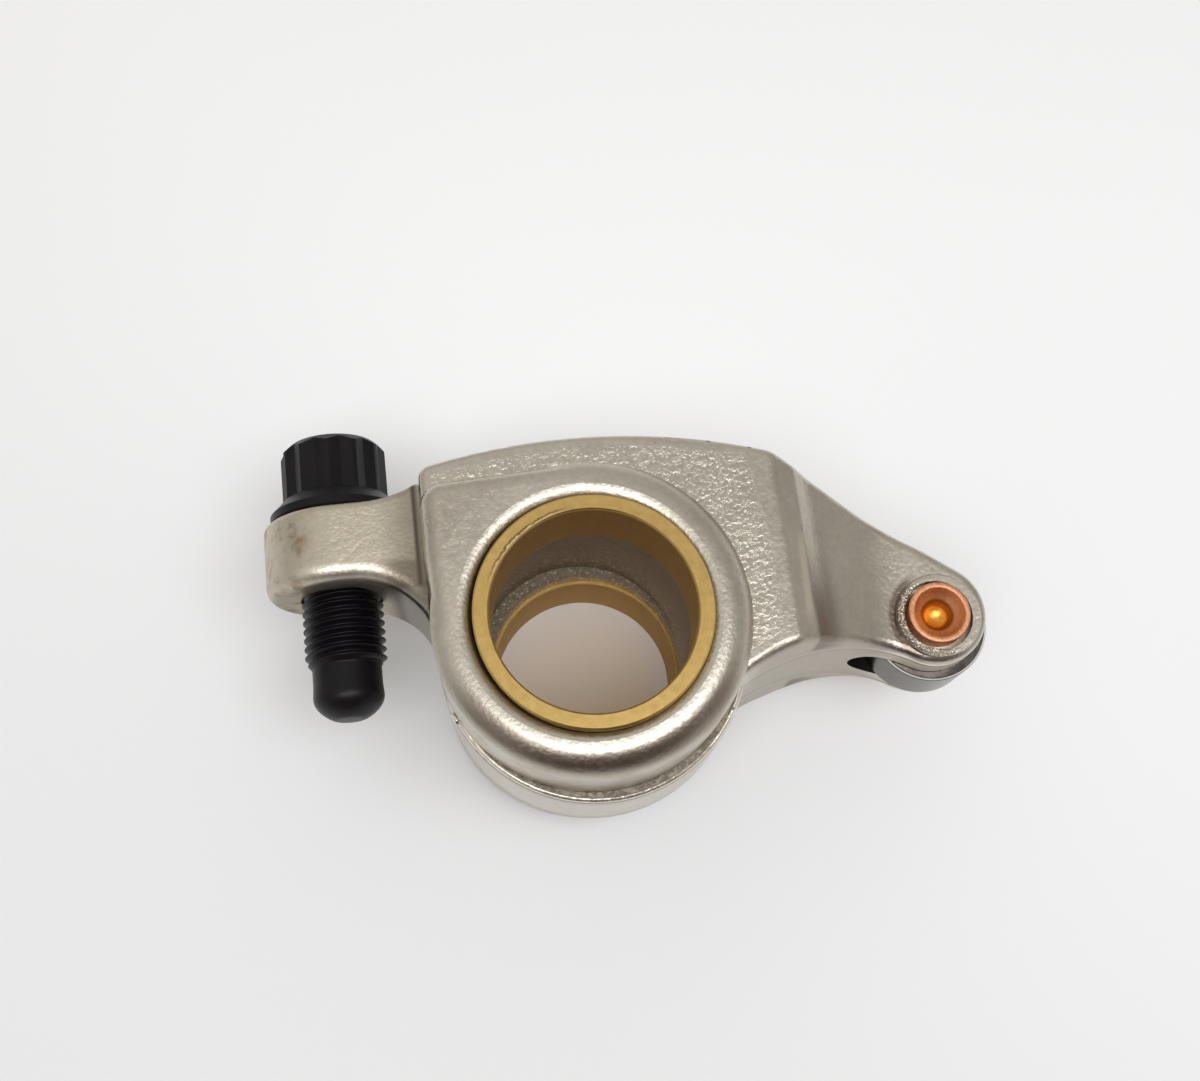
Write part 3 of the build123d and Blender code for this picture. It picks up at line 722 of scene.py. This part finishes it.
def collar_ridge(material):
    """Raised lip left on the nose beside the axle: a low arch across its width, carried along an arc.

    Its height above the nose grows from the arc's ends, times a ripple that roughens it.
    """
    start, end = radians(112), radians(292)
    full_from, full_to = radians(150), radians(262)
    inset, sunk = 0.55, 0.15
    along = np.linspace(start, end, 240)[:, None]
    across = np.linspace(-1, 1, 19)[None, :]
    fullness = smooth(along, start, full_from) * smooth(-along, -end, -full_to)
    half_width = 0.26 + 0.22 * fullness
    radius = COLLAR_RADIUS - inset + half_width * across
    x = COLLAR_CENTER[0] + radius * np.cos(along)
    y = COLLAR_CENTER[1] + radius * np.sin(along)
    arch = np.clip(1 - across**2, 0, 1) ** 0.7
    rough = 0.5 + 0.28 * ripple(x, y, size=0.42, seed=11) + 0.16 * ripple(x, y, size=0.24, seed=12)
    height = NOSE_HALF + 0.12 + arch * (0.10 + 0.42 * fullness * np.clip(rough, 0.1, 1.2))
    upper = np.stack([x, y, height], -1)
    lower = upper[:, ::-1].copy()
    lower[..., 2] = NOSE_HALF - sunk
    return closed_shell("collar_ridge", np.concatenate([upper, lower], axis=1), material)


def flash_nub(name, center, heading, material):
    """Nub of casting flash: an ellipsoid over two angles, turned about z, its surface moved by a ripple."""
    half_length, half_width, half_height = 0.80, 0.30, 0.30
    near_pole = pi / 2 - 0.02
    lift = np.linspace(-near_pole, near_pole, 20)[:, None]
    turn = np.linspace(0, 2 * pi, 32, endpoint=False)[None, :]
    a = half_length * np.cos(lift) * np.cos(turn)
    b = half_width * np.cos(lift) * np.sin(turn)
    c = half_height * np.sin(lift) * np.ones_like(turn)
    swell = 1 + 0.16 * ripple(a + c, b - c, size=0.8, seed=21)
    x = center[0] + swell * (a * np.cos(heading) - b * np.sin(heading))
    y = center[1] + swell * (a * np.sin(heading) + b * np.cos(heading))
    return closed_shell(name, np.stack([x, y, center[2] + swell * c], -1), material)


# ---------------------------------------------------------------- the dressed part
nickel = nickel_finish()
hammered = skin_finish()
bronze = bronze_finish()
copper = copper_finish()
steel = roller_finish()
black = black_finish()


def dress(node, material):
    """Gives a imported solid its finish."""
    piece = nodes[node]
    piece.data.materials.clear()
    piece.data.materials.append(material)


dress("rocker_body", nickel)
dress("upper_bushing", bronze)
dress("lower_bushing", bronze)
dress("roller", steel)
dress("roller_axle", copper)
dress("adjuster_screw", black)
dress("lock_nut", black)

for name, side in (("upper_plateau_skin", 1), ("lower_plateau_skin", -1)):
    skin = plateau_skin(name, side, hammered)
    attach(skin, "arm")

axle = turned_axle(copper)
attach(axle, "arm")
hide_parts("roller_axle")

ridge = collar_ridge(nickel)
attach(ridge, "arm")

for name, center, heading in (
    ("left_flash_nub", (-15.95, -7.6, 6.55), radians(-64)),
    ("right_flash_nub", (14.75, -10.3, 6.55), radians(55)),
):
    nub = flash_nub(name, center, heading, nickel)
    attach(nub, "arm")

thread = adjuster_thread(black)
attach(thread, "screw")
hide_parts("adjuster_screw")

# ---------------------------------------------------------------- floor, light and camera
SHEET_NEAR = (0.825, 0.835, 0.862)
SHEET_FAR = (0.945, 0.958, 0.985)
GLOW_NEAR = (0.024, 0.024, 0.023)
GLOW_FAR = (0.092, 0.092, 0.092)
GLOW_UNDER_BORE = (0.118, 0.074, 0.033)
ROOM_PALE = (1.0, 0.965, 0.905)
ROOM_BROWN = (1.0, 0.72, 0.55)
LAMP_WHITE = (0.965, 0.985, 1.0)


def pale_floor():
    """Pale matt sheet that the part lies on: a flat square just under it.

    It is painted darker towards -y as painted light falloff, and glows very faintly as painted light, more
    towards +x and +y, and warmly under the bore.
    """
    f = Finish("pale_sheet")
    # painted light: the sheet's tone falls off towards -y, and its glow is painted light
    away = f.noise(90.0, 2.0) * 0.1 + f.y.step(-110.0, 70.0) * 0.9
    f.tone = f.ramp(away, 0.05, SHEET_NEAR, SHEET_FAR)
    under_bore = f.distance(BORE_AXIS).step(14.0, 6.0)
    glow = f.mix((f.x + f.y).step(-80.0, 70.0), GLOW_NEAR, GLOW_FAR)
    glow = f.mix(under_bore, glow, GLOW_UNDER_BORE)
    material = f.shade(0.6, metal=0.0, **{"Emission Color": glow, "Emission Strength": 1.0})
    half_side, clearance = 1500.0, 0.01
    along = np.linspace(-half_side, half_side, 3)
    x, y = np.meshgrid(along, along)
    points = np.stack([x, y, np.full_like(x, FLOOR_Z - clearance)], -1)
    floor = open_sheet("pale_floor", points, np.ones(x.shape, bool), material)


def studio_light():
    """Plain soft light: a broad lamp overhead in a pale room that is dim and brownish towards the front."""
    world = bpy.data.worlds.new("studio")
    world.use_nodes = True
    bpy.context.scene.world = world
    g = Graph(world.node_tree)
    heading = g.node("ShaderNodeTexCoord", {}, {}, "Generated")

    def near(direction, wide, core):
        """1 within core degrees of a direction, fading to 0 at wide degrees."""
        axis = Vector(direction).normalized()
        along = g.node("ShaderNodeVectorMath", {"operation": "DOT_PRODUCT"}, {0: heading, 1: axis}, 1)
        return along.step(np.cos(radians(wide)), np.cos(radians(core)))

    up = g.parts(heading)[2]
    front = near((0.05, -0.85, 0.50), 50, 25)
    left = near((-0.62, 0.26, 0.74), 52, 5)
    right = near((0.50, 0.25, 0.80), 42, 5)
    back = near((0.0, 0.88, 0.45), 48, 10)
    strength = 0.43 + up.step(0.25, 0.9) * 0.15 + left * 0.08 + back * 0.12 - right * 0.12 - front * 0.40
    tint = g.mix(front, ROOM_PALE, ROOM_BROWN)
    shade = g.node("ShaderNodeBackground", {}, {"Color": tint, "Strength": strength})
    g.node("ShaderNodeOutputWorld", {}, {"Surface": shade})
    lamp = bpy.data.lights.new("overhead", "AREA")
    lamp.shape = "RECTANGLE"
    lamp.size = 0.70
    lamp.size_y = 0.27
    lamp.energy = 2.4
    lamp.color = LAMP_WHITE
    piece = bpy.data.objects.new("overhead", lamp)
    piece.location = (0.04, -0.18, 0.60)
    aim = Vector((0, 0, 0)) - piece.location
    piece.rotation_euler = aim.to_track_quat("-Z", "Y").to_euler()
    bpy.context.scene.collection.objects.link(piece)


def camera_view():
    """Camera above the part, turned by its own right, up and back directions."""
    data = bpy.data.cameras.new("camera")
    data.lens = 43.568
    data.sensor_width = 36.0
    data.sensor_fit = "HORIZONTAL"
    data.clip_start = 0.005
    data.clip_end = 20.0
    piece = bpy.data.objects.new("camera", data)
    place = Vector((-10.8422, -39.5326, 166.9001)) * MM
    right = Vector((0.991884, -0.118929, 0.044964))
    up = Vector((0.099421, 0.945923, 0.308779))
    back = Vector((-0.079255, -0.301803, 0.950070))
    turn = Matrix((right, up, back)).transposed().to_4x4()
    piece.matrix_world = Matrix.Translation(place) @ turn
    bpy.context.scene.collection.objects.link(piece)
    bpy.context.scene.camera = piece


pale_floor()
studio_light()
camera_view()
bpy.context.scene.view_settings.view_transform = "Standard"
